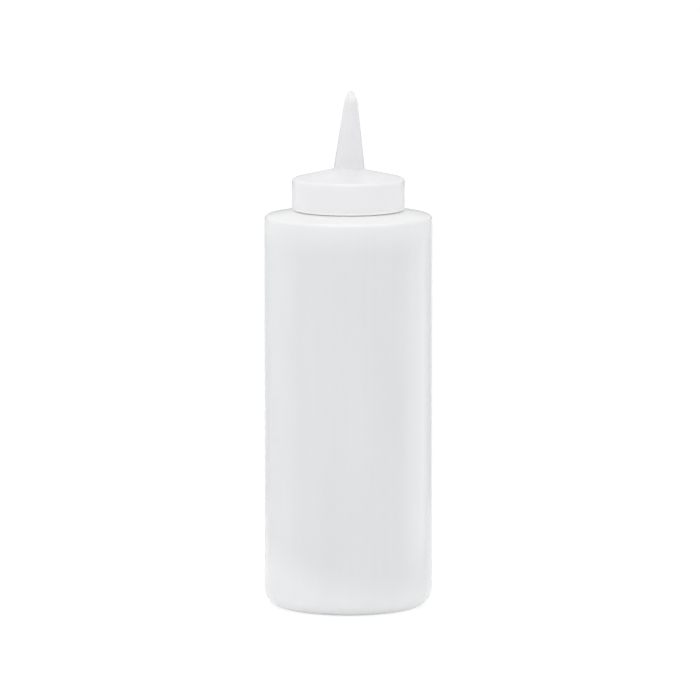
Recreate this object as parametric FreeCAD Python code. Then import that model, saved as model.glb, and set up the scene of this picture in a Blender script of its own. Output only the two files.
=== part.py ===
import FreeCAD, Part

import math
import os

# A 12 oz squeeze bottle for sauce: a blown bottle and a screw cap moulded in one with its cone nozzle.
# Millimetres, +Z up. The origin is the middle of the foot, on the surface that the bottle stands on.
# The bottle is empty. Its wall is thin enough to squeeze, and the nozzle is open at the tip.

# ---- Bottle, outside
BODY_R = 30.0
SHOULDER_EDGE_Z = 140.9
SHOULDER_FILLET = 1.4
FOOT_FILLET = 5.8
FOOT_RING_R = 21.0
PUSH_UP_EDGE_R = 18.4
PUSH_UP_EDGE_Z = 1.5
PUSH_UP_CENTRE_Z = 2.5
PUSH_UP_FILLET = 1.6

# ---- Bottle, wall
WALL = 1.0
SHOULDER_WALL = 1.2
FOOT_WALL = 1.4
NECK_WALL = 1.45

# ---- Neck finish: a 38 mm continuous thread with six turns to the inch, over a ledge under the cap
NECK_R = 17.5
NECK_TOP_Z = 152.8
NECK_ROOT_FILLET = 0.7
NECK_LIP_FILLET = 0.5
NECK_LEDGE_R = 19.4
NECK_LEDGE_Z = 142.9
NECK_LEDGE_FILLET = 0.25
THREAD_PITCH = 25.4 / 6
THREAD_TURNS = 1.15
THREAD_CREST_R = 18.7
THREAD_ROOT_WIDTH = 1.9
THREAD_CREST_WIDTH = 0.9
THREAD_START_Z = 145.2
THREAD_SUNK = 0.4

# ---- Marks left by the blow mould: a line up each side, and the pinched rib across the push-up
MOULD_LINE_PROUD = 0.12
MOULD_LINE_WIDTH = 0.5
PINCH_RIB_LENGTH = 34.0
PINCH_RIB_WIDTH = 1.0
PINCH_RIB_PROUD = 0.5

# ---- Cap
CAP_BOTTOM_Z = 143.0
CAP_BOTTOM_R = 20.25
CAP_TOP_R = 20.15
CAP_TOP_EDGE_Z = 154.2
CAP_BOTTOM_FILLET = 0.9
CAP_TOP_FILLET = 1.2
SKIRT_INNER_R = 18.95
CAP_THREAD_CREST_R = 17.8
CAP_THREAD_ROOT_WIDTH = 1.7
CAP_THREAD_CREST_WIDTH = 0.8
CAP_THREAD_FIRST_TURN = 0.45
CAP_INSIDE_RISE_R = 15.2
CAP_INSIDE_TOP_Z = 155.9

# ---- Nozzle, a cone on the cap whose tip is open. It leans a little, as it set in the mould
NOZZLE_ROOT_R = 5.56
NOZZLE_ROOT_Z = 157.6
NOZZLE_SHOULDER_R = 2.2
NOZZLE_SHOULDER_Z = 182.7
NOZZLE_NOSE_R = 0.95
NOZZLE_TIP_Z = 185.4
NOZZLE_SHOULDER_FILLET = 5.0
NOZZLE_NOSE_FILLET = 0.3
NOZZLE_FOOT_FILLET = 1.0
BORE_ROOT_R = 4.55
BORE_THROAT_R = 1.1
BORE_THROAT_Z = 182.0
TIP_HOLE_R = 0.6
TIP_HOLE_START_Z = 184.0
LEAN_DEG = 1.5
LEAN_PIVOT_Z = 146.0

UP = FreeCAD.Vector(0, 0, 1)
ORIGIN = FreeCAD.Vector(0, 0, 0)


def point(r, z):
    """A point of a section in the XZ plane, r from the axis."""
    return FreeCAD.Vector(r, 0, z)


def rounded_outline(corners):
    """A closed wire through (r, z, corner radius) corners, each rounded by a tangent arc."""
    count = len(corners)
    starts, ends, arcs = [], [], []
    for index, (r, z, radius) in enumerate(corners):
        here = point(r, z)
        if radius == 0:
            starts.append(here)
            ends.append(here)
            arcs.append(None)
            continue
        before = corners[index - 1]
        after = corners[(index + 1) % count]
        back = (point(before[0], before[1]) - here).normalize()
        on = (point(after[0], after[1]) - here).normalize()
        half = back.getAngle(on) / 2
        reach = radius / math.tan(half)
        middle_way = (back + on).normalize()
        nearest = here + middle_way * (radius / math.sin(half) - radius)
        starts.append(here + back * reach)
        ends.append(here + on * reach)
        arcs.append(nearest)
    edges = []
    for index in range(count):
        if arcs[index] is not None:
            edges.append(Part.Arc(starts[index], arcs[index], ends[index]).toShape())
        following = (index + 1) % count
        if ends[index].distanceToPoint(starts[following]) > 1e-6:
            edges.append(Part.LineSegment(ends[index], starts[following]).toShape())
    return Part.Wire(edges)


def turned(corners):
    """A solid of revolution about Z from the corners of its section."""
    return Part.Face(rounded_outline(corners)).revolve(ORIGIN, UP, 360)


def helical_rib(root_r, crest_r, root_width, crest_width, start_z, first_turn):
    """One right-hand thread: a trapezoid swept along a helix that passes start_z over the X axis."""
    helix = Part.makeHelix(THREAD_PITCH, THREAD_PITCH * THREAD_TURNS, root_r)
    section = Part.makePolygon([
        point(root_r, -root_width / 2),
        point(crest_r, -crest_width / 2),
        point(crest_r, crest_width / 2),
        point(root_r, root_width / 2),
        point(root_r, -root_width / 2),
    ])
    sweep = Part.BRepOffsetAPI.MakePipeShell(Part.Wire(helix.Edges))
    sweep.setFrenetMode(True)
    sweep.add(section)
    sweep.build()
    sweep.makeSolid()
    rib = sweep.shape()
    rib.rotate(ORIGIN, UP, 360 * first_turn)
    rib.translate(UP * (start_z + THREAD_PITCH * first_turn))
    return rib


def neck_thread():
    """The thread outside the neck. Its foot is sunk into the neck wall, so that the two fuse."""
    return helical_rib(NECK_R - THREAD_SUNK, THREAD_CREST_R, THREAD_ROOT_WIDTH + THREAD_SUNK,
                       THREAD_CREST_WIDTH, THREAD_START_Z, 0)


def cap_thread():
    """The thread inside the skirt, half a pitch under the neck's, so that the two run side by side."""
    return helical_rib(SKIRT_INNER_R + THREAD_SUNK, CAP_THREAD_CREST_R,
                       CAP_THREAD_ROOT_WIDTH + THREAD_SUNK, CAP_THREAD_CREST_WIDTH,
                       THREAD_START_Z - THREAD_PITCH / 2, CAP_THREAD_FIRST_TURN)


def bottle_wall():
    """The blown bottle: the outside and the inside are one closed section, turned about the axis."""
    inner_r = BODY_R - WALL
    bore_r = NECK_R - NECK_WALL
    return turned([
        (0, PUSH_UP_CENTRE_Z, 0),
        (PUSH_UP_EDGE_R, PUSH_UP_EDGE_Z, PUSH_UP_FILLET),
        (FOOT_RING_R, 0, PUSH_UP_FILLET),
        (BODY_R, 0, FOOT_FILLET),
        (BODY_R, SHOULDER_EDGE_Z, SHOULDER_FILLET),
        (NECK_LEDGE_R, NECK_LEDGE_Z, NECK_LEDGE_FILLET),
        (NECK_R, NECK_LEDGE_Z, NECK_LEDGE_FILLET),
        (NECK_R, NECK_TOP_Z, NECK_LIP_FILLET),
        (bore_r, NECK_TOP_Z, NECK_LIP_FILLET),
        (bore_r, NECK_LEDGE_Z - SHOULDER_WALL, NECK_ROOT_FILLET),
        (inner_r, SHOULDER_EDGE_Z - SHOULDER_WALL, SHOULDER_FILLET - WALL),
        (inner_r, FOOT_WALL, FOOT_FILLET - WALL),
        (FOOT_RING_R - FOOT_WALL / 2, FOOT_WALL, PUSH_UP_FILLET),
        (PUSH_UP_EDGE_R - FOOT_WALL / 2, PUSH_UP_EDGE_Z + FOOT_WALL, PUSH_UP_FILLET),
        (0, PUSH_UP_CENTRE_Z + FOOT_WALL, 0),
    ])


def mould_line(side):
    """The fine ridge where the mould's halves met, up one side of the body."""
    low_z = FOOT_FILLET
    high_z = SHOULDER_EDGE_Z - SHOULDER_FILLET
    sunk_x = BODY_R - WALL / 2
    crest_x = BODY_R + MOULD_LINE_PROUD
    half_width = MOULD_LINE_WIDTH / 2
    section = Part.makePolygon([
        FreeCAD.Vector(sunk_x, -half_width, low_z),
        FreeCAD.Vector(BODY_R, -half_width, low_z),
        FreeCAD.Vector(crest_x, -half_width / 2, low_z),
        FreeCAD.Vector(crest_x, half_width / 2, low_z),
        FreeCAD.Vector(BODY_R, half_width, low_z),
        FreeCAD.Vector(sunk_x, half_width, low_z),
        FreeCAD.Vector(sunk_x, -half_width, low_z),
    ])
    ridge = Part.Face(section).extrude(UP * (high_z - low_z))
    if side < 0:
        ridge.rotate(ORIGIN, UP, 180)
    return ridge


def pinch_rib():
    """The rib across the push-up, where the mould pinched the tube of hot plastic shut."""
    strip = Part.makeBox(PINCH_RIB_LENGTH, PINCH_RIB_WIDTH, 2 * PUSH_UP_CENTRE_Z)
    strip.translate(FreeCAD.Vector(-PINCH_RIB_LENGTH / 2, -PINCH_RIB_WIDTH / 2, 0))
    sunk = FOOT_WALL / 2
    layer = turned([
        (0, PUSH_UP_CENTRE_Z - PINCH_RIB_PROUD, 0),
        (PUSH_UP_EDGE_R, PUSH_UP_EDGE_Z - PINCH_RIB_PROUD, 0),
        (PUSH_UP_EDGE_R, PUSH_UP_EDGE_Z + sunk, 0),
        (0, PUSH_UP_CENTRE_Z + sunk, 0),
    ])
    return layer.common(strip)


def make_bottle():
    body = bottle_wall().fuse(neck_thread())
    for side in (1, -1):
        body = body.fuse(mould_line(side))
    return body.fuse(pinch_rib()).removeSplitter()


def cap_shell():
    """The skirt and the shallow cone of the top, closed in the middle, where the nozzle stands."""
    slope = (NOZZLE_ROOT_Z - CAP_TOP_EDGE_Z) / (CAP_TOP_R - NOZZLE_ROOT_R)
    centre_z = NOZZLE_ROOT_Z + slope * NOZZLE_ROOT_R
    return turned([
        (0, centre_z, 0),
        (CAP_TOP_R, CAP_TOP_EDGE_Z, CAP_TOP_FILLET),
        (CAP_BOTTOM_R, CAP_BOTTOM_Z, CAP_BOTTOM_FILLET),
        (SKIRT_INNER_R, CAP_BOTTOM_Z, CAP_BOTTOM_FILLET / 4),
        (SKIRT_INNER_R, NECK_TOP_Z, 0),
        (CAP_INSIDE_RISE_R, NECK_TOP_Z, 0),
        (BORE_ROOT_R, CAP_INSIDE_TOP_Z, 0),
        (0, CAP_INSIDE_TOP_Z, 0),
    ])


def leaned(shape):
    """The nozzle's shapes are turned upright and then leaned together towards +X."""
    tilted = shape.copy()
    tilted.rotate(FreeCAD.Vector(0, 0, LEAN_PIVOT_Z), FreeCAD.Vector(0, 1, 0), LEAN_DEG)
    return tilted


def nozzle_cone():
    """The cone outside, carried on down into the cap's top, so that the two fuse."""
    taper = (NOZZLE_ROOT_R - NOZZLE_SHOULDER_R) / (NOZZLE_SHOULDER_Z - NOZZLE_ROOT_Z)
    sunk_z = (CAP_INSIDE_TOP_Z + NOZZLE_ROOT_Z) / 2
    sunk_r = NOZZLE_ROOT_R + taper * (NOZZLE_ROOT_Z - sunk_z)
    return leaned(turned([
        (0, sunk_z, 0),
        (sunk_r, sunk_z, 0),
        (NOZZLE_SHOULDER_R, NOZZLE_SHOULDER_Z, NOZZLE_SHOULDER_FILLET),
        (NOZZLE_NOSE_R, NOZZLE_TIP_Z, NOZZLE_NOSE_FILLET),
        (0, NOZZLE_TIP_Z, 0),
    ]))


def nozzle_bore():
    """The cone inside the nozzle, from under the cap's top out through the hole in the tip."""
    beyond_z = NOZZLE_TIP_Z + TIP_HOLE_R
    return leaned(turned([
        (0, NECK_TOP_Z, 0),
        (BORE_ROOT_R, NECK_TOP_Z, 0),
        (BORE_ROOT_R, CAP_INSIDE_TOP_Z, 0),
        (BORE_THROAT_R, BORE_THROAT_Z, 0),
        (TIP_HOLE_R, TIP_HOLE_START_Z, 0),
        (TIP_HOLE_R, beyond_z, 0),
        (0, beyond_z, 0),
    ]))


def with_rounded_foot(cap):
    """The cap with a small fillet where the cone meets its top."""
    cone_foot = [edge for edge in cap.Edges
                 if abs(edge.BoundBox.Center.z - NOZZLE_ROOT_Z) < NOZZLE_FOOT_FILLET / 2
                 and abs(edge.BoundBox.XLength / 2 - NOZZLE_ROOT_R) < NOZZLE_FOOT_FILLET / 2]
    return cap.makeFillet(NOZZLE_FOOT_FILLET, cone_foot)


def make_nozzle_cap():
    cap = with_rounded_foot(cap_shell().fuse(nozzle_cone()).removeSplitter())
    return cap.fuse(cap_thread()).cut(nozzle_bore()).removeSplitter()


NODES = {
    "bottle": make_bottle,
    "nozzle_cap": make_nozzle_cap,
}

os.makedirs("parts", exist_ok=True)
for name, make in NODES.items():
    shape = make()
    if len(shape.Solids) != 1 or not shape.isValid():
        raise SystemExit(name + " is not one sound solid")
    piece = shape.Solids[0]
    piece.exportStep("parts/" + name + ".step")
    box = piece.optimalBoundingBox()
    print(name, "volume", round(piece.Volume), "mm3, z", round(box.ZMin, 2), "to", round(box.ZMax, 2),
          "mm, x", round(box.XMin, 2), "to", round(box.XMax, 2), "mm")
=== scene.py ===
import math

import bpy
from mathutils import Matrix, Vector


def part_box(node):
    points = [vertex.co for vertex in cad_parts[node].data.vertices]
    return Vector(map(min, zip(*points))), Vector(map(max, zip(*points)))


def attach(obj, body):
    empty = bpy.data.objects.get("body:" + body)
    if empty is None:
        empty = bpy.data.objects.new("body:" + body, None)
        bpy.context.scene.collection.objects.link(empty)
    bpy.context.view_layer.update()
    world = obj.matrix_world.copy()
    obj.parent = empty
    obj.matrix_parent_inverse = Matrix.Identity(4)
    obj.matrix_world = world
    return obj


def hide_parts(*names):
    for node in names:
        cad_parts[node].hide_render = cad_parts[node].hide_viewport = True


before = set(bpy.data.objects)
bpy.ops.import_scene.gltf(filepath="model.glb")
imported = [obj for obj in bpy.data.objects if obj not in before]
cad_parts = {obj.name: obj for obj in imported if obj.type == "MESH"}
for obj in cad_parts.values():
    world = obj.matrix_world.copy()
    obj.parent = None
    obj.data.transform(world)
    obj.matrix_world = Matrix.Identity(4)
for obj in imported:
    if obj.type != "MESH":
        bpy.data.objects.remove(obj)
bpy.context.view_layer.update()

# An empty sauce squeeze bottle of natural polyethylene, with its screw cap and nozzle in one.
# Sections are in millimetres, as a mould maker draws them, and go into the scene in metres.
MM = 0.001

_, bottle_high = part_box("bottle")
cap_low, cap_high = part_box("nozzle_cap")

# ---- Bottle section
BODY_R = bottle_high[1] / MM
SHOULDER_EDGE_Z = 140.9
SHOULDER_FILLET = 1.4
NECK_LEDGE_R = 19.4
NECK_LEDGE_Z = 142.9
NECK_LEDGE_FILLET = 0.25
NECK_R = 17.5
NECK_TOP_Z = bottle_high[2] / MM
NECK_WALL = 1.45
NECK_ROOT_FILLET = 0.7
LIP_FILLET = 0.5
WALL = 1.0
SHOULDER_WALL = 1.2
FOOT_WALL = 1.4
FOOT_FILLET = 5.8
FOOT_RING_R = 21.0
PUSH_UP_R = 18.4
PUSH_UP_EDGE_Z = 1.5
PUSH_UP_CENTRE_Z = 2.5
PUSH_UP_FILLET = 1.6

# ---- Marks of the blow mould
MOULD_LINE_PROUD = 0.12
MOULD_LINE_WIDTH = 0.5
MOULD_LINE_TOP_Z = SHOULDER_EDGE_Z - SHOULDER_FILLET
MOULD_LINE_RUN_OUT = 3.0
PINCH_RIB_PROUD = 0.5
PINCH_RIB_WIDTH = 1.0
PINCH_RIB_LENGTH = 34.0
PINCH_RIB_RUN_OUT = 0.8
WALL_SINK = 0.10
WALL_SINK_LOW_Z = 25.0
WALL_SINK_HIGH_Z = 120.0
# Each wave of the wall: how many go round, its share of the depth, its start angle, mm up for a radian
WALL_WAVES = ((2, 0.22, 0.7, 60), (3, 0.16, 0.0, -38), (5, 0.12, 1.9, 21))

# ---- Thread, right-hand, six turns to the inch
THREAD_PITCH = 25.4 / 6
THREAD_TURNS = 1.15
THREAD_RUN_OUT_TURNS = 0.03
THREAD_START_Z = 145.2
THREAD_WIDTH = 1.9
THREAD_CREST = 0.9
NECK_THREAD_PROUD = 1.2
CAP_THREAD_PROUD = 1.15
CAP_THREAD_FIRST_TURN = 0.45

# ---- Cap section
CAP_BOTTOM_Z = cap_low[2] / MM
CAP_BOTTOM_R = 20.25
CAP_TOP_R = 20.15
CAP_TOP_EDGE_Z = 154.2
CAP_BOTTOM_FILLET = 0.9
CAP_TOP_FILLET = 1.2
SKIRT_INNER_R = 18.95
CAP_INSIDE_RISE_R = 15.2
CAP_INSIDE_TOP_Z = 155.9
NOZZLE_ROOT_R = 5.56
NOZZLE_ROOT_Z = 157.6
NOZZLE_FOOT_FILLET = 1.0
NOZZLE_SHOULDER_R = 2.2
NOZZLE_SHOULDER_Z = 182.7
NOZZLE_SHOULDER_FILLET = 5.0
NOZZLE_NOSE_R = 0.95
NOZZLE_TIP_Z = 185.4
NOZZLE_NOSE_FILLET = 0.3
BORE_ROOT_R = 4.55
BORE_THROAT_R = 1.1
BORE_THROAT_Z = 182.0
TIP_HOLE_R = 0.6
TIP_HOLE_START_Z = 184.0
LEAN = math.radians(1.5)
LEAN_PIVOT_Z = 146.0
LEAN_FULL_R = NOZZLE_ROOT_R + 1.0
LEAN_NONE_R = CAP_INSIDE_RISE_R - 2.0

# ---- Mesh spacing: columns round, the turn of one step in an arc, and rows on plain and threaded runs
COLUMNS = 160
MOULD_LINE_COLUMNS = (0.125, 0.25, 0.45, 0.7)
ARC_STEP = math.radians(9)
PLAIN_ROW = 2.0
FINE_ROW = 0.35
SHARP_EDGE = math.radians(38)
CLOSE = 0.1  # how far off a surface's own radius or height, or off the axis, still counts as on it


# ---- Shapes

def smooth(low, high, value):
    """0 below low, 1 above high, with an even S between."""
    t = min(max((value - low) / (high - low), 0.0), 1.0)
    return t * t * (3 - 2 * t)


def section_points(corners, closed):
    """The points of an outline through (r, z, corner radius, spacing of the run after it) corners."""
    count = len(corners)
    points = []
    for index, (r, z, radius, spacing) in enumerate(corners):
        here = Vector((r, z))
        if radius == 0:
            points.append((here, spacing))
            continue
        back = (Vector(corners[index - 1][:2]) - here).normalized()
        on = (Vector(corners[(index + 1) % count][:2]) - here).normalized()
        half = back.angle(on) / 2
        centre = here + (back + on).normalized() * (radius / math.sin(half))
        first = here + back * (radius / math.tan(half)) - centre
        turn = (math.pi - 2 * half) * (1 if back.cross(on) < 0 else -1)
        steps = max(3, math.ceil(abs(turn) / ARC_STEP))
        for k in range(steps + 1):
            on_arc = centre + Matrix.Rotation(turn * k / steps, 2) @ first
            points.append((on_arc, spacing if k == steps else PLAIN_ROW))
    following = points[1:] + points[:1] if closed else points[1:]
    rows = []
    for (start, spacing), (end, _) in zip(points, following):
        pieces = max(1, math.ceil((end - start).length / spacing))
        rows += [start.lerp(end, k / pieces) for k in range(pieces)]
    if not closed:
        rows.append(points[-1][0])
    return rows


def columns_round(mould_lines_at):
    """The angles of a turned mesh's columns: even all round, and closer together at the mould lines."""
    angles = {2 * math.pi * k / COLUMNS for k in range(COLUMNS)}
    for middle in mould_lines_at:
        for across in MOULD_LINE_COLUMNS:
            for side in (-1, 1):
                angles.add((middle + side * across / BODY_R) % (2 * math.pi))
    return sorted(angles)


def turned_mesh(name, section, closed, angles, place):
    """A mesh turned from a section, each point moved to where place(r, z, angle) says, in mm."""
    rows, verts, faces = [], [], []
    for r, z in section:
        if r < CLOSE:
            rows.append([len(verts)] * len(angles))
            verts.append(Vector(place(r, z, 0.0)) * MM)
            continue
        rows.append(list(range(len(verts), len(verts) + len(angles))))
        verts += [Vector(place(r, z, angle)) * MM for angle in angles]
    following = rows[1:] + rows[:1] if closed else rows[1:]
    for low, high in zip(rows, following):
        for k in range(len(angles)):
            beside = (k + 1) % len(angles)
            corners = list(dict.fromkeys([low[k], low[beside], high[beside], high[k]]))
            faces.append(corners)
    mesh = bpy.data.meshes.new(name)
    mesh.from_pydata(verts, [], faces)
    mesh.shade_smooth()
    mesh.set_sharp_from_angle(angle=SHARP_EDGE)
    piece = bpy.data.objects.new(name, mesh)
    bpy.context.collection.objects.link(piece)
    return piece


def thread_height(z, angle, start_z, first_turn, proud):
    """How far a thread stands out at this height and angle, with its flanks and run-outs."""
    flank = (THREAD_WIDTH - THREAD_CREST) / 2
    whole_turns = math.ceil(THREAD_TURNS + first_turn)
    height = 0.0
    for whole in range(whole_turns):
        turn = angle / (2 * math.pi) + whole
        along = turn - first_turn
        away = abs(z - (start_z + THREAD_PITCH * turn))
        rise = min(max((THREAD_WIDTH / 2 - away) / flank, 0.0), 1.0)
        ends = smooth(0, THREAD_RUN_OUT_TURNS, along)
        ends *= smooth(0, THREAD_RUN_OUT_TURNS, THREAD_TURNS - along)
        height = max(height, proud * rise * ends)
    return height


def wall_sink(angle, z):
    """How far the blown wall sinks in from the mould: broad shallow waves, none by the foot or shoulder."""
    between = smooth(FOOT_FILLET, WALL_SINK_LOW_Z, z)
    between *= 1 - smooth(WALL_SINK_HIGH_Z, MOULD_LINE_TOP_Z, z)
    wave = 0.5
    for waves_round, share, start, climb in WALL_WAVES:
        wave += share * math.sin(waves_round * angle + start + z / climb)
    return WALL_SINK * between * wave


def mould_line(angle, z):
    """How far the line stands out where the mould's halves met, up both sides of the body."""
    off_side = abs(math.remainder(angle, math.pi)) * BODY_R
    crest = 1 - smooth(MOULD_LINE_WIDTH / 4, MOULD_LINE_WIDTH / 2, off_side)
    low_end = FOOT_FILLET - 1
    high_end = MOULD_LINE_TOP_Z + 1
    ends = smooth(low_end, low_end + MOULD_LINE_RUN_OUT, z)
    ends *= 1 - smooth(high_end - MOULD_LINE_RUN_OUT, high_end, z)
    return MOULD_LINE_PROUD * crest * ends


def pinch_rib(r, angle):
    """How far the rib stands out across the push-up, where the mould pinched the hot tube shut."""
    along = abs(r * math.cos(angle))
    across = abs(r * math.sin(angle))
    crest = 1 - smooth(PINCH_RIB_WIDTH * 0.3, PINCH_RIB_WIDTH * 0.6, across)
    ends = 1 - smooth(PINCH_RIB_LENGTH / 2 - PINCH_RIB_RUN_OUT, PINCH_RIB_LENGTH / 2, along)
    return PINCH_RIB_PROUD * crest * ends


def bottle_place(r, z, angle):
    """A point of the blown bottle: the turned section with the marks that its making leaves."""
    if r > BODY_R - WALL / 2:
        r += mould_line(angle, z) - wall_sink(angle, z)
    elif z > NECK_LEDGE_Z + NECK_LEDGE_FILLET and r > NECK_R - CLOSE:
        r += thread_height(z, angle, THREAD_START_Z, 0.0, NECK_THREAD_PROUD)
    elif r < FOOT_RING_R and z < PUSH_UP_CENTRE_Z + CLOSE:
        z -= pinch_rib(r, angle) * smooth(0, PUSH_UP_EDGE_Z, z)
    return r * math.cos(angle), r * math.sin(angle), z


def cap_place(r, z, angle):
    """A point of the moulded cap: the turned section with the thread in its skirt and the nozzle's lean."""
    if abs(r - SKIRT_INNER_R) < CLOSE and z > CAP_BOTTOM_Z + CAP_BOTTOM_FILLET / 2:
        r -= thread_height(z, angle, THREAD_START_Z - THREAD_PITCH / 2, CAP_THREAD_FIRST_TURN,
                           CAP_THREAD_PROUD)
    x, y = r * math.cos(angle), r * math.sin(angle)
    lean = LEAN * (1 - smooth(LEAN_FULL_R, LEAN_NONE_R, r))
    up = z - LEAN_PIVOT_Z
    leaned_x = x * math.cos(lean) + up * math.sin(lean)
    leaned_z = LEAN_PIVOT_Z + up * math.cos(lean) - x * math.sin(lean)
    return leaned_x, y, leaned_z


def make_bottle():
    """The blown bottle: outside from the push-up to the lip, and back down the inside."""
    inner_r = BODY_R - WALL
    bore_r = NECK_R - NECK_WALL
    section = section_points([
        (0, PUSH_UP_CENTRE_Z, 0, FINE_ROW),
        (PUSH_UP_R, PUSH_UP_EDGE_Z, PUSH_UP_FILLET, FINE_ROW),
        (FOOT_RING_R, 0, PUSH_UP_FILLET, PLAIN_ROW),
        (BODY_R, 0, FOOT_FILLET, PLAIN_ROW),
        (BODY_R, SHOULDER_EDGE_Z, SHOULDER_FILLET, PLAIN_ROW),
        (NECK_LEDGE_R, NECK_LEDGE_Z, NECK_LEDGE_FILLET, PLAIN_ROW),
        (NECK_R, NECK_LEDGE_Z, NECK_LEDGE_FILLET, FINE_ROW),
        (NECK_R, NECK_TOP_Z, LIP_FILLET, PLAIN_ROW),
        (bore_r, NECK_TOP_Z, LIP_FILLET, PLAIN_ROW),
        (bore_r, NECK_LEDGE_Z - SHOULDER_WALL, NECK_ROOT_FILLET, PLAIN_ROW),
        (inner_r, SHOULDER_EDGE_Z - SHOULDER_WALL, SHOULDER_FILLET - WALL, PLAIN_ROW),
        (inner_r, FOOT_WALL, FOOT_FILLET - WALL, PLAIN_ROW),
        (FOOT_RING_R - FOOT_WALL / 2, FOOT_WALL, PUSH_UP_FILLET, PLAIN_ROW),
        (PUSH_UP_R - FOOT_WALL / 2, PUSH_UP_EDGE_Z + FOOT_WALL, PUSH_UP_FILLET, PLAIN_ROW),
        (0, PUSH_UP_CENTRE_Z + FOOT_WALL, 0, PLAIN_ROW),
    ], False)
    return turned_mesh("bottle_blown", section, False, columns_round([0.0, math.pi]), bottle_place)


def make_cap():
    """The moulded cap: from the nozzle's shoulder over the tip, down the inside, and up the outside."""
    section = section_points([
        (NOZZLE_SHOULDER_R, NOZZLE_SHOULDER_Z, NOZZLE_SHOULDER_FILLET, PLAIN_ROW),
        (NOZZLE_NOSE_R, NOZZLE_TIP_Z, NOZZLE_NOSE_FILLET, PLAIN_ROW),
        (TIP_HOLE_R, NOZZLE_TIP_Z, 0, PLAIN_ROW),
        (TIP_HOLE_R, TIP_HOLE_START_Z, 0, PLAIN_ROW),
        (BORE_THROAT_R, BORE_THROAT_Z, 0, PLAIN_ROW),
        (BORE_ROOT_R, CAP_INSIDE_TOP_Z, 0, PLAIN_ROW),
        (CAP_INSIDE_RISE_R, NECK_TOP_Z, 0, PLAIN_ROW),
        (SKIRT_INNER_R, NECK_TOP_Z, 0, FINE_ROW),
        (SKIRT_INNER_R, CAP_BOTTOM_Z, CAP_BOTTOM_FILLET / 4, PLAIN_ROW),
        (CAP_BOTTOM_R, CAP_BOTTOM_Z, CAP_BOTTOM_FILLET, PLAIN_ROW),
        (CAP_TOP_R, CAP_TOP_EDGE_Z, CAP_TOP_FILLET, PLAIN_ROW),
        (NOZZLE_ROOT_R, NOZZLE_ROOT_Z, NOZZLE_FOOT_FILLET, PLAIN_ROW),
    ], True)
    return turned_mesh("nozzle_cap_moulded", section, True, columns_round([]), cap_place)


# ---- Materials

LDPE_IOR = 1.51
LIGHT_REACH = 2.0
RELIEF = 0.1
LEFT_REACH_TILT = 0.4
WHITE = (1, 1, 1, 1)


def linear(hex_colour):
    """A linear colour from an sRGB hex value."""
    parts = [int(hex_colour[k:k + 2], 16) / 255 for k in (1, 3, 5)]
    return [c / 12.92 if c <= 0.04045 else ((c + 0.055) / 1.055) ** 2.4 for c in parts] + [1.0]


def add(tree, kind, settings, out=0):
    """Adds a node, gives an output. A setting is a property or, by identifier, an input's value or link."""
    node = tree.nodes.new("ShaderNode" + kind)
    sockets = {socket.identifier: socket for socket in node.inputs}
    for key, value in settings.items():
        if key not in sockets:
            setattr(node, key, value)
        elif isinstance(value, bpy.types.NodeSocket):
            tree.links.new(value, sockets[key])
        else:
            sockets[key].default_value = value
    return node.outputs[out] if node.outputs else None


def new_material(name):
    material = bpy.data.materials.new(name)
    material.use_nodes = True
    material.node_tree.nodes.clear()
    return material, material.node_tree


def patches(tree, where, wide, high, strength):
    """Soft unevenness of -strength to strength, in patches of wide by high mm. Noise fills 0.1 to 0.9."""
    sized = (1 / (wide * MM), 1 / (wide * MM), 1 / (high * MM))
    scaled = add(tree, "VectorMath", {"operation": "MULTIPLY", "Vector": where, "Vector_001": sized})
    cloud = add(tree, "TexNoise", {"Vector": scaled, "Scale": 1.0, "Detail": 1.0})
    return add(tree, "MapRange", {
        "Value": cloud, "From Min": 0.1, "From Max": 0.9, "To Min": -strength, "To Max": strength,
    })


def whitening_for_thickness_and_painted_light(tree, height, start_z, full_z, amount):
    """How much whiter a wall gets from start_z to full_z, in mm, where it is thicker and where light is
    painted in.
    """
    return add(tree, "MapRange", {
        "interpolation_type": "SMOOTHSTEP",
        "Value": height,
        "From Min": start_z * MM,
        "From Max": full_z * MM,
        "To Min": 0.0,
        "To Max": amount,
    })


def total(tree, parts):
    """Several effects on the same wall, added up."""
    so_far = parts[0]
    for part in parts[1:]:
        so_far = add(tree, "Math", {"operation": "ADD", "Value": so_far, "Value_001": part})
    return so_far


def milky_plastic(tree, whiteness, thin_hex, thick_and_lit_hex, roughness, relief):
    """Natural polyethylene, unpigmented: light goes some way in and comes out soft, under a waxy gloss.
    It is whiter where the wall is thicker and where light is painted in, and there a little duller. The
    whitening goes from 0 to 1."""
    reach = LIGHT_REACH * MM
    colour = add(tree, "Mix", {
        "data_type": "RGBA",
        "Factor_Float": whiteness,
        "A_Color": linear(thin_hex),
        "B_Color": linear(thick_and_lit_hex),
    }, out=2)
    waxy = add(tree, "MapRange", {"Value": whiteness, "To Min": roughness[0], "To Max": roughness[1]})
    normal = add(tree, "Bump", {"Strength": 0.05, "Distance": RELIEF * MM, "Height": relief})
    surface = add(tree, "BsdfPrincipled", {
        "Base Color": colour,
        "Roughness": waxy,
        "Normal": normal,
        "IOR": LDPE_IOR,
        "Subsurface Weight": 0.4,
        "Subsurface Scale": 1.0,
        "Subsurface Radius": (reach, reach, reach),
    })
    add(tree, "OutputMaterial", {"Surface": surface})


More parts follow.
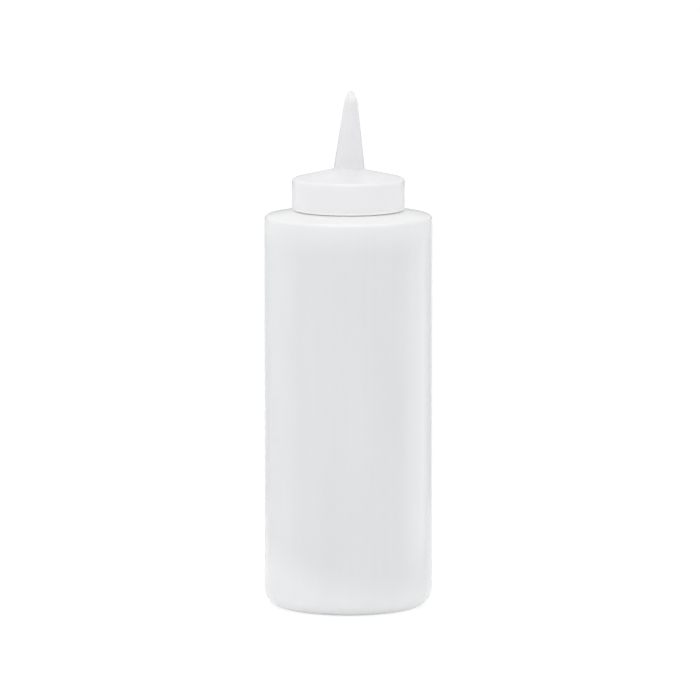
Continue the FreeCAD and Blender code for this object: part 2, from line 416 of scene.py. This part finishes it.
def blown_ldpe():
    """Natural LDPE, extrusion blown: milky, whiter towards the foot and the shoulder, partly for the
    thicker wall
    there and partly as painted light: the floor's bounce at the foot, light through the shoulder and the
    top light on it. Cloudy where it is uneven, with faint die lines up the body and a smooth waxy skin. The
    whiter foot reaches further up the body's left."""
    material, tree = new_material("ldpe_natural_blown")
    where = add(tree, "TexCoord", {}, out="Object")
    across = add(tree, "SeparateXYZ", {"Vector": where}, out="X")
    height = add(tree, "SeparateXYZ", {"Vector": where}, out="Z")
    # The foot's whitening reaches further up the body's left.
    off_left = add(tree, "Math", {"operation": "MINIMUM", "Value": across, "Value_001": 0.0})
    foot_height = add(tree, "Math", {
        "operation": "MULTIPLY_ADD",
        "Value": off_left,
        "Value_001": LEFT_REACH_TILT,
        "Value_002": height,
    })
    # Whiter towards the foot: partly the thicker wall, partly painted light of the floor's bounce.
    foot = whitening_for_thickness_and_painted_light(tree, foot_height, start_z=18, full_z=0, amount=0.52)
    # Whiter up to the shoulder: partly the thicker wall, partly painted light coming through the shoulder.
    upper_body = whitening_for_thickness_and_painted_light(tree, height, start_z=128, full_z=141, amount=0.45)
    # The shoulder's top: painted light against the cap's shade, and a little for the thicker wall.
    shoulder = whitening_for_thickness_and_painted_light(tree, height, start_z=140.5, full_z=141.5, amount=0.45)
    clouds = patches(tree, where, wide=18, high=45, strength=0.13)
    # Real die lines are a few tenths of a millimetre apart. They are drawn coarser, or they wouldn't show.
    die_lines = patches(tree, where, wide=2.6, high=104, strength=0.05)
    all_of_it = total(tree, [foot, upper_body, shoulder, clouds, die_lines])
    # The thinnest patches come to about -0.2.
    whiteness = add(tree, "MapRange", {"Value": all_of_it, "From Min": -0.2, "From Max": 1.0})
    skin = patches(tree, where, wide=1.6, high=1.6, strength=0.5)
    relief = total(tree, [skin, die_lines, die_lines])
    # FCFCFC is the wall at its whitest, for its thickest parts and for the painted light.
    milky_plastic(tree, whiteness, "#DFE1E4", "#FCFCFC", roughness=(0.19, 0.24), relief=relief)
    return material


def moulded_ldpe():
    """Natural LDPE, injection moulded: thicker than the blown wall and so whiter, thinner and greyer up
    the nozzle, whiter again at the tip, partly where it is solid and partly as a painted highlight from
    above, and whitest at the rim, a painted glint of the light that runs down the skirt and comes out
    there."""
    material, tree = new_material("ldpe_natural_moulded")
    where = add(tree, "TexCoord", {}, out="Object")
    height = add(tree, "SeparateXYZ", {"Vector": where}, out="Z")
    top_and_skirt = whitening_for_thickness_and_painted_light(tree, height, start_z=161, full_z=157, amount=0.25)
    # Whiter at the tip: partly the solid tip, partly a painted highlight from above.
    tip = whitening_for_thickness_and_painted_light(tree, height, start_z=181, full_z=TIP_HOLE_START_Z, amount=0.5)
    # A painted glint: the rim is whitened for light that runs down the skirt and comes out there.
    rim = whitening_for_thickness_and_painted_light(tree, height, start_z=CAP_BOTTOM_Z + 1.1, full_z=CAP_BOTTOM_Z + 0.7, amount=0.75)
    clouds = patches(tree, where, wide=12, high=12, strength=0.06)
    all_of_it = total(tree, [top_and_skirt, tip, rim, clouds])
    whiteness = add(tree, "MapRange", {"Value": all_of_it, "From Min": -0.06, "From Max": 1.0})
    skin = patches(tree, where, wide=1.4, high=1.4, strength=0.5)
    milky_plastic(tree, whiteness, "#E7E7EA", "#FFFFFF", roughness=(0.21, 0.25), relief=skin)
    return material


# ---- Stage, in metres

FLOOR_R = 12.0
FLOOR_CORNERS = 64
FLOOR_LIFT = 0.72
FLOOR_LIFT_STRENGTH = 1.12
FLAG_BACK_Y = 0.2
FLAG_FAR_X = 0.19
STRIP_AWAY = 0.12
STRIP_HEIGHT = 0.118
STRIP_MIDDLE_Z = 0.060


def seen_directly(tree):
    """1 for a ray that shows the background itself, straight, in a gloss or through glass."""
    rays = add(tree, "LightPath", {}).node.outputs
    return total(tree, [rays["Is Camera Ray"], rays["Is Glossy Ray"], rays["Is Transmission Ray"]])


def make_floor():
    """A plain white floor out to the horizon. What is seen of it is lifted to white, less its shadows."""
    material, tree = new_material("studio_floor")
    lit = add(tree, "BsdfDiffuse", {"Color": linear("#F9F9F9")})
    glow = add(tree, "Emission", {"Color": WHITE, "Strength": FLOOR_LIFT_STRENGTH})
    lifted = add(tree, "MixShader", {"Fac": FLOOR_LIFT, "Shader": lit, "Shader_001": glow})
    floor = add(tree, "MixShader", {"Fac": seen_directly(tree), "Shader": lit, "Shader_001": lifted})
    add(tree, "OutputMaterial", {"Surface": floor})
    angles = [2 * math.pi * k / FLOOR_CORNERS for k in range(FLOOR_CORNERS)]
    ring = [(FLOOR_R * math.cos(angle), FLOOR_R * math.sin(angle), 0) for angle in angles]
    mesh = bpy.data.meshes.new("studio_floor")
    mesh.from_pydata(ring, [], [list(range(FLOOR_CORNERS))])
    mesh.materials.append(material)
    piece = bpy.data.objects.new("studio_floor", mesh)
    bpy.context.collection.objects.link(piece)


def make_room(strength):
    """A plain room of even light, which is white where it is seen."""
    world = bpy.data.worlds.new("studio_room")
    world.use_nodes = True
    bpy.context.scene.world = world
    tree = world.node_tree
    tree.nodes.clear()
    light = add(tree, "Background", {"Color": WHITE, "Strength": strength})
    white = add(tree, "Background", {"Color": WHITE, "Strength": 1.0})
    both = add(tree, "MixShader", {"Fac": seen_directly(tree), "Shader": light, "Shader_001": white})
    add(tree, "OutputWorld", {"Surface": both})


def softbox(name, place, aim, size, radiance):
    """A rectangular soft light of (width, height) at place, turned to aim, as bright as radiance."""
    width, height = size
    data = bpy.data.lights.new(name, "AREA")
    data.shape = "RECTANGLE"
    data.size = width
    data.size_y = height
    data.energy = radiance * math.pi * width * height
    lamp = bpy.data.objects.new(name, data)
    lamp.location = place
    lamp.rotation_euler = (Vector(aim) - Vector(place)).to_track_quat("-Z", "Y").to_euler()
    lamp.visible_camera = False
    bpy.context.collection.objects.link(lamp)
    return lamp


def make_flags(name, near_x, low_z, high_z, grey):
    """A grey card behind each side of the bottle, from near_x outward. It shows only in the gloss."""
    material, tree = new_material(name)
    add(tree, "OutputMaterial", {"Surface": add(tree, "BsdfDiffuse", {"Color": linear(grey)})})
    verts, faces = [], []
    for near, far in ((-near_x, -FLAG_FAR_X), (near_x, FLAG_FAR_X)):
        first = len(verts)
        faces.append([first, first + 1, first + 2, first + 3])
        verts += [(near, FLAG_BACK_Y, low_z), (far, FLAG_BACK_Y, low_z)]
        verts += [(far, FLAG_BACK_Y, high_z), (near, FLAG_BACK_Y, high_z)]
    mesh = bpy.data.meshes.new(name)
    mesh.from_pydata(verts, [], faces)
    mesh.materials.append(material)
    flags = bpy.data.objects.new(name, mesh)
    flags.visible_camera = False
    flags.visible_diffuse = False
    flags.visible_shadow = False
    bpy.context.collection.objects.link(flags)


def light_stage():
    """Even light from all round, with a little more from above and from the front's two corners."""
    halfway_up = (cap_low + cap_high) / 4
    make_room(strength=0.77)
    make_flags("flags_body", near_x=0.085, low_z=0.0, high_z=0.128, grey="#EAEAEA")
    make_flags("flags_nozzle", near_x=0.0, low_z=0.128, high_z=0.164, grey="#A0A0A0")
    make_flags("flags_top", near_x=0.0, low_z=0.164, high_z=0.26, grey="#F0F0F0")
    softbox("softbox_top", (0, -0.4, 1.3), halfway_up, size=(1.6, 1.6), radiance=0.42)
    # This one is only there for the highlight along the shoulder's front edge.
    edge = softbox("softbox_back", (0, 0.5, 1.0), halfway_up, size=(0.52, 0.28), radiance=2.7)
    edge.visible_diffuse = False
    for name, x, radiance in (("fill_left", -1.05, 1.0), ("fill_right", 1.05, 0.75)):
        fill = softbox(name, (x, -0.57, 0.45), halfway_up, size=(0.8, 0.8), radiance=radiance)
        fill.visible_glossy = False
    # The strips are only there for the long highlights up the body's sides.
    for name, x, front, back, radiance in (
        ("strip_left", -STRIP_AWAY, -0.042, 0.035, 0.35),
        ("strip_right", STRIP_AWAY, -0.026, 0.075, 0.7),
    ):
        y = (front + back) / 2
        across = (0, y, STRIP_MIDDLE_Z)
        size = (back - front, STRIP_HEIGHT)
        strip = softbox(name, (x, y, STRIP_MIDDLE_Z), across, size, radiance)
        strip.visible_diffuse = False


# ---- Camera, in metres: a long lens from a little above the bottle

CAMERA_AWAY = 2.6
CAMERA_TILT = math.radians(7.9)
CAMERA_LENS = 376.4
AIM = Vector((0.0006, 0.0, 0.0923))


def make_camera():
    data = bpy.data.cameras.new("camera")
    data.lens = CAMERA_LENS
    data.sensor_width = 36.0
    camera = bpy.data.objects.new("camera", data)
    camera.location = AIM + Vector((0, -CAMERA_AWAY, CAMERA_AWAY * math.tan(CAMERA_TILT)))
    camera.rotation_euler = (math.pi / 2 - CAMERA_TILT, 0, 0)
    bpy.context.collection.objects.link(camera)
    bpy.context.scene.camera = camera


make_camera()
bpy.context.scene.view_settings.view_transform = "Standard"
make_floor()
light_stage()

bottle = make_bottle()
bottle.data.materials.append(blown_ldpe())
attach(bottle, "root")
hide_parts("bottle")

cap = make_cap()
cap.data.materials.append(moulded_ldpe())
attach(cap, "root")
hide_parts("nozzle_cap")
